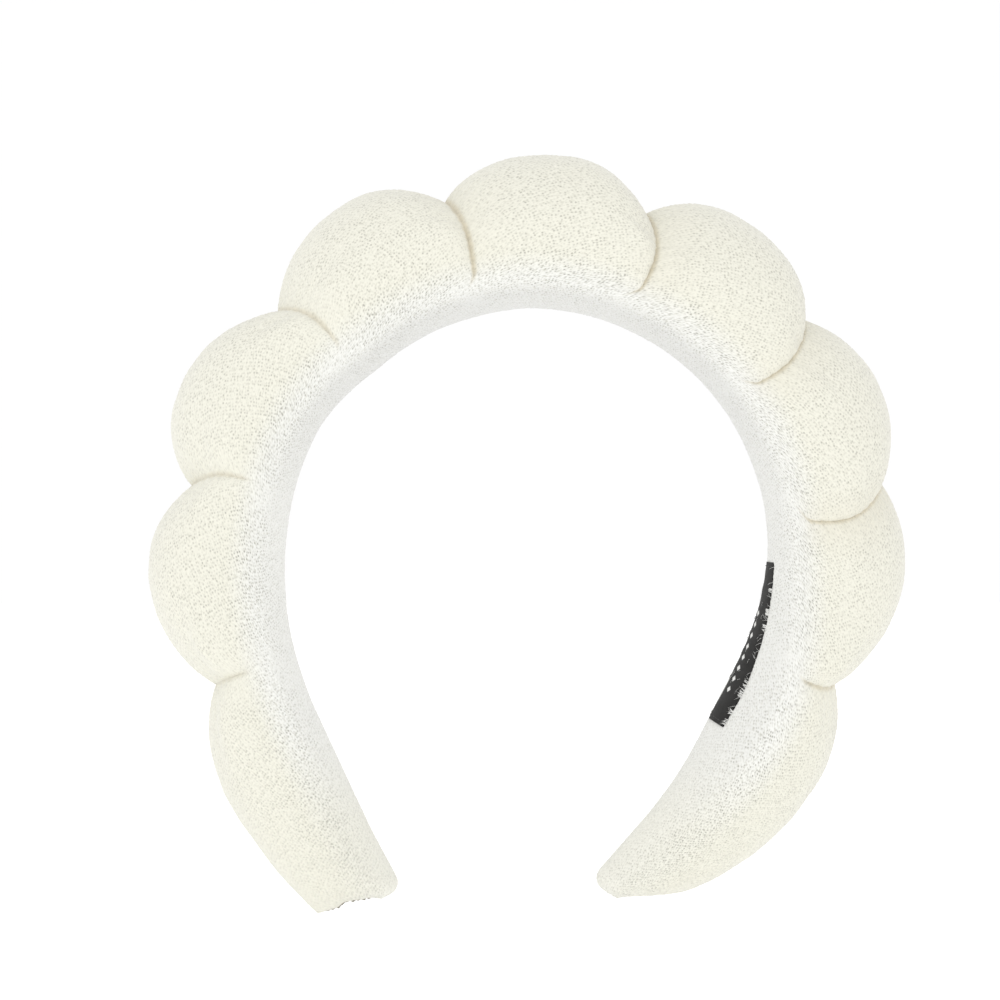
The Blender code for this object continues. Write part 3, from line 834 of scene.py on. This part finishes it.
def gap_shade_shares(tree):
    """Small spots of painted shade between the loops, each of its own strength, and weaker in some patches.
    """
    loop = add_node(tree, "ShaderNodeTexVoronoi", _voronoi_dimensions="2D", Scale=1.0, Randomness=0.62)
    tree.links.new(cloth_uv(tree, LOOPS), loop.inputs["Vector"])
    split = tree.nodes.new("ShaderNodeSeparateColor")
    tree.links.new(loop.outputs["Color"], split.inputs[0])
    gap = map_range(tree, loop.outputs["Distance"], low=0.4, high=0.1)
    own_strength = map_range(tree, split.outputs[0], low=0.0, high=1.0, to_low=0.1, to_high=0.95)
    patches = map_range(tree, spots(tree, scale=300), low=0.3, high=0.6, to_low=0.6)
    for share in (own_strength, patches, attribute(tree, "gaps"), GAP_SHADE_STRENGTH):
        gap = math_node(tree, "MULTIPLY", gap, share)
    return gap


def label_material():
    """Black satin ribbon with a fine slanting weave and a row of small woven lozenges."""
    material, tree, shader = new_material("label_ribbon")
    twill = add_node(
        tree, "ShaderNodeTexWave", _bands_direction="DIAGONAL", Scale=0.9, Distortion=0.6, Detail=1.0
    )
    tree.links.new(cloth_uv(tree, TWILL), twill.inputs["Vector"])
    dusty = mix_colors(tree, spots(tree, scale=260), RIBBON_BLACK, RIBBON_DUSTY)
    ribbon = mix_colors(tree, twill.outputs["Fac"], RIBBON_DARK, dusty)
    mark = lozenge_shares(tree)
    tree.links.new(mix_colors(tree, mark, ribbon, RIBBON_MARK), shader.inputs["Base Color"])
    set_uniform(shader, Roughness=0.6, Specular_IOR_Level=0.12)
    relief = math_node(tree, "ADD", twill.outputs["Fac"], mark)
    add_bump(tree, shader, relief, strength=0.5, distance=0.06 * MM)
    return material


def lozenge_shares(tree):
    """1 in the lozenges of the label's row and 0 around them."""
    split = tree.nodes.new("ShaderNodeSeparateXYZ")
    tree.links.new(cloth_uv(tree, (1, 1, 1)), split.inputs[0])
    down, across = split.outputs[0], split.outputs[1]
    step = math_node(tree, "MODULO", down, LOZENGE_PITCH)
    step = math_node(tree, "SUBTRACT", step, LOZENGE_PITCH / 2)
    offset = math_node(tree, "SUBTRACT", across, LOZENGE_ACROSS)
    long_share = math_node(tree, "DIVIDE", math_node(tree, "ABSOLUTE", step, 0.0), LOZENGE_LENGTH)
    wide_share = math_node(tree, "DIVIDE", math_node(tree, "ABSOLUTE", offset, 0.0), LOZENGE_WIDTH)
    mark = map_range(tree, math_node(tree, "ADD", long_share, wide_share), low=0.8, high=0.6)
    below_start = math_node(tree, "GREATER_THAN", down, LOZENGES_FROM)
    above_end = math_node(tree, "LESS_THAN", down, LOZENGES_TO)
    return math_node(tree, "MULTIPLY", mark, math_node(tree, "MULTIPLY", below_start, above_end))


def plain_material(name):
    """A simple surface that wavers between two colours, with a fine grain."""
    color, other, scale, roughness, depth = PLAIN_LOOKS[name]
    material, tree, shader = new_material(name)
    grain = spots(tree, scale, detail=3.0)
    tree.links.new(mix_colors(tree, grain, color, other), shader.inputs["Base Color"])
    set_uniform(shader, Roughness=roughness)
    add_bump(tree, shader, grain, strength=0.6, distance=depth)
    return material


# ------------------------ pieces


def make_skin(cloth, kind, first, last, material, cad_name):
    for crease in range(len(CREASES)):
        front, normal, back, cloth_map, values = cloth.cut(crease, first, last)
        name = f"{kind}_{crease + 1}_{crease + 2}"
        piece = make_sheet(name, front, normal, back, cloth_map, material, values)
        bend_across(piece, crease)
        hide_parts(f"{cad_name}_{crease + 1}", f"{cad_name}_{crease + 2}")


def make_sponge(along, crease, material):
    """The sponge under two half bubbles: the cover's own shape, a little smaller, over a flat foot."""
    ends = (SPONGE_TIP_GAP - LEFT_ARM.tip < along) & (along < RIGHT_ARM.tip - SPONGE_TIP_GAP)
    along = along[ends][::COARSE]
    across, height = [grid[:, ::COARSE] for grid in cover_places(along, SPONGE_INSET)]
    points = cloth_points(along, across, np.maximum(height, SPONGE_FOOT), REST_PLANE - SPONGE_INSET)
    mesh = bpy.data.meshes.new("sponge")
    mesh.from_pydata(points.reshape(-1, 3).tolist(), [], tube_faces(*across.shape))
    mesh.shade_smooth()
    piece = add_piece(f"sponge_{crease + 1}_{crease + 2}", mesh, material)
    bend_across(piece, crease)
    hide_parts(f"foam_pad_{crease + 1}", f"foam_pad_{crease + 2}")


def on_label(cloth, along, across, out):
    """A point by the label; across counts from the label's own middle line."""
    middle = np.interp(along, [LABEL_START, LABEL_END], [LABEL_MIDDLE_START, LABEL_MIDDLE_END])
    return cloth.on_lining(along, middle + across, out)


def sunk_by(along):
    """How far the label's upper end is pressed into the pile."""
    return LABEL_SUNK * (1 - smooth(along, LABEL_START, LABEL_START + LABEL_SUNK_OVER))


def make_label(cloth, material):
    along = np.linspace(LABEL_START, LABEL_END, LABEL_ROWS + 1)[:, None]
    across = np.linspace(LABEL_HALF_WIDTH, -LABEL_HALF_WIDTH, LABEL_STEPS + 1)[None, :]
    share = np.abs(across) / LABEL_HALF_WIDTH
    wander = RIPPLE_WANDER * np.sin(along / MM * RIPPLE_WANDER_TURN)
    ripple = np.sin(along / MM * RIPPLE_TURN + wander) * LABEL_RIPPLE * share
    out = LABEL_OUT + ripple - LABEL_EDGE_DIP * share**6 - sunk_by(along)
    along, across, out = np.broadcast_arrays(along, across, out)
    front = on_label(cloth, along, across, out)
    back = on_label(cloth, along, across, out - LABEL_THICKNESS)[::COARSE, ::COARSE]
    cloth_map = np.stack([along - LABEL_START, across], axis=-1) / MM
    piece = make_sheet("woven_label", front, sheet_normals(front), back, cloth_map, material, {})
    bend_across(piece, LABEL_CREASE)
    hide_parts("label")


def make_label_stitches(cloth, name, cad_name, along, material):
    """A row of short stitches across one end of the label."""
    count = len(STITCH_ARCH)
    steps = np.linspace(-STITCH_HALF, STITCH_HALF, count)
    out = STITCH_ARCH - sunk_by(along)
    paths = [on_label(cloth, np.full(count, along), middle + steps, out) for middle in STITCH_MIDDLES]
    piece = make_strands(name, paths, [np.full(count, STITCH_RADIUS)] * len(paths), THREAD_SIDES, material)
    bend_across(piece, LABEL_CREASE)
    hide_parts(cad_name)


def edge_strand(cloth, chance, side, middle, tufted):
    """A strand of pile from beside the label to over its edge: short in a tuft, longer if it is single."""
    along = middle + chance.uniform(*STRAND_SPREAD) * MM
    root = side * (LABEL_HALF_WIDTH + chance.uniform(*STRAND_ROOT) * MM)
    reach = -side * chance.uniform(*TUFT_REACH if tufted else HAIR_REACH) * MM
    drift = chance.uniform(*TUFT_DRIFT if tufted else HAIR_DRIFT) * MM
    out = PILE_OUT * chance.uniform(*STRAND_LIFT)
    return on_label(cloth, along + drift * PILE_STEPS, root + reach * PILE_STEPS, out)


def ribbon_hair(cloth, chance):
    """A short bowed hair that lies on the ribbon."""
    along = LABEL_START + chance.uniform(*RIBBON_HAIR_ALONG) * MM
    across = chance.uniform(*RIBBON_HAIR_ACROSS) * MM
    heading = chance.uniform(*RIBBON_HAIR_HEADING)
    steps = np.linspace(0, chance.uniform(*RIBBON_HAIR_LENGTH) * MM, RIBBON_HAIR_STEPS)
    bow = np.sin(np.linspace(0, math.pi, RIBBON_HAIR_STEPS))
    path_along = along + steps * math.cos(heading)
    path_across = across + steps * math.sin(heading) * 0.6 + bow * 0.2 * MM
    path_across = np.clip(path_across, -RIBBON_HAIRS_WITHIN, RIBBON_HAIRS_WITHIN)
    return on_label(cloth, path_along, path_across, (0.44 + 0.1 * bow) * MM)


def make_label_fibres(cloth, material):
    """Pile of the lining that reaches over the label's edges, and a few stray hairs on it."""
    chance = np.random.default_rng(PILE_SEED)
    paths, radii = [], []
    for side, tufts, hairs in EDGE_PILE:
        for k in range(TUFT_HAIRS * tufts + hairs):
            tufted = k < TUFT_HAIRS * tufts
            if k % TUFT_HAIRS == 0 or not tufted:
                middle = mix(LABEL_START, LABEL_END, chance.uniform() ** 0.6)
            paths.append(edge_strand(cloth, chance, side, middle, tufted))
            radii.append(TUFT_RADII if tufted else HAIR_RADII)
    for _ in range(RIBBON_HAIRS):
        paths.append(ribbon_hair(cloth, chance))
        radii.append(np.full(RIBBON_HAIR_STEPS, RIBBON_HAIR_RADIUS))
    piece = make_strands("label_edge_pile", paths, radii, PILE_SIDES, material)
    bend_across(piece, LABEL_CREASE)


def make_end_stitch(cloth, name, cad_name, row, body, material):
    """The whip stitch that closes a tip: a thread that sways over the lips of its mouth."""
    places = np.linspace(THREAD_FROM, THREAD_TO, THREAD_POINTS) * SECTION_STEPS / 2
    turns = np.linspace(0, 2 * math.pi, THREAD_POINTS)
    front, back = cloth.mouth_lips(row, places)
    inner_row = MOUTH_ROWS if row == 0 else row - MOUTH_ROWS
    beyond = front + back - sum(cloth.mouth_lips(inner_row, places))
    beyond = beyond / np.linalg.norm(beyond, axis=1)[:, None]
    sway = THREAD_SWAY * np.sin(THREAD_SWAYS * turns)
    out = THREAD_OUT + THREAD_RIPPLE * np.sin(THREAD_RIPPLES * turns + 1)
    path = mix(front, back, 0.5 + sway[:, None]) + beyond * out[:, None]
    counted = np.arange(THREAD_POINTS)
    to_end = np.minimum(counted, counted[::-1]) / THREAD_POINTS
    thick = THREAD_RADIUS * np.minimum(1, THREAD_THIN_END + THREAD_TAPER * to_end)
    piece = make_strands(name, [path], [thick], THREAD_SIDES, material)
    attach(piece, body)
    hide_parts(cad_name)


def finish_hidden_nodes(nodes):
    """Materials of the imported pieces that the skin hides."""
    kinds = {"hoop_segment": plain_material("hoop_plastic"), "gather_tie": plain_material("gather_thread")}
    for name, node in nodes.items():
        for kind, material in kinds.items():
            if name.startswith(kind):
                for slot in node.material_slots:
                    slot.material = material


# ------------------------ stage


def make_stage():
    world = bpy.data.worlds.new("studio")
    bpy.context.scene.world = world
    world.use_nodes = True
    background = world.node_tree.nodes["Background"]
    background.inputs["Color"].default_value = (1, 1, 1, 1)
    background.inputs["Strength"].default_value = SKY_STRENGTH
    bpy.ops.mesh.primitive_plane_add(size=FLOOR_SIZE, location=(0, 0, FLOOR_HEIGHT))
    floor = bpy.context.object
    floor.name = "floor"
    material, _, shader = new_material("floor")
    set_uniform(shader, Base_Color=FLOOR_GREY, Roughness=0.9)
    set_uniform(shader, Emission_Color=(1, 1, 1, 1), Emission_Strength=FLOOR_GLOW)
    floor.data.materials.append(material)
    for name, size, energy, location, target in LAMPS:
        add_lamp(name, size, energy, location, target)


def add_lamp(name, size, energy, location, target):
    light = bpy.data.lights.new(name, "AREA")
    light.size = size
    light.energy = energy
    lamp = bpy.data.objects.new(name, light)
    bpy.context.scene.collection.objects.link(lamp)
    lamp.location = location
    lamp.rotation_euler = look_at(location, target)


def look_at(eye, target):
    return (Vector(target) - Vector(eye)).to_track_quat("-Z", "Y").to_euler()


def make_camera():
    data = bpy.data.cameras.new("camera")
    data.lens = CAMERA_LENS
    data.sensor_width = CAMERA_SENSOR
    camera = bpy.data.objects.new("camera", data)
    bpy.context.scene.collection.objects.link(camera)
    camera.location = CAMERA_PLACE
    camera.rotation_euler = CAMERA_TURN
    bpy.context.scene.camera = camera


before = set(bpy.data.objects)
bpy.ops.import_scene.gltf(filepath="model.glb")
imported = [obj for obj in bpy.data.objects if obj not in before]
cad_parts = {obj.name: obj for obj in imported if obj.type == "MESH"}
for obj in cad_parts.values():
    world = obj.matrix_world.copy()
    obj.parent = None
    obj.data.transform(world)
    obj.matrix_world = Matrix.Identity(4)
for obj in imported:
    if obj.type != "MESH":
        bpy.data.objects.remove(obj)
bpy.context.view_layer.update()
bpy.context.scene.view_settings.view_transform = "Standard"
make_camera()
make_stage()
terry, lining = terry_material("terry_cover"), terry_material("terry_lining")
sponge, pile = plain_material("sponge"), plain_material("pile_fibre")
black_thread, brown_thread = plain_material("label_thread"), plain_material("end_thread")
cloth = Cloth()
make_skin(cloth, "terry_cover", 0, SECTION_STEPS, terry, "cover_lobe")
make_skin(cloth, "terry_lining", SECTION_STEPS, SECTION_STEPS + LINING_STEPS, lining, "lining")
for crease in range(len(CREASES)):
    rows = slice(cloth.marks[crease], cloth.marks[crease + 1] + 1)
    make_sponge(cloth.along[rows], crease, sponge)
make_label(cloth, label_material())
for end, along in (("top", LABEL_START + STITCH_FROM_END), ("bottom", LABEL_END - STITCH_FROM_END)):
    make_label_stitches(cloth, f"label_stitches_{end}", f"label_stitch_{end}", along, black_thread)
make_label_fibres(cloth, pile)
make_end_stitch(cloth, "end_stitches_left", "end_stitch_left", 0, "bubble_1", brown_thread)
make_end_stitch(cloth, "end_stitches_right", "end_stitch_right", -1, "bubble_9", brown_thread)
finish_hidden_nodes(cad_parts)
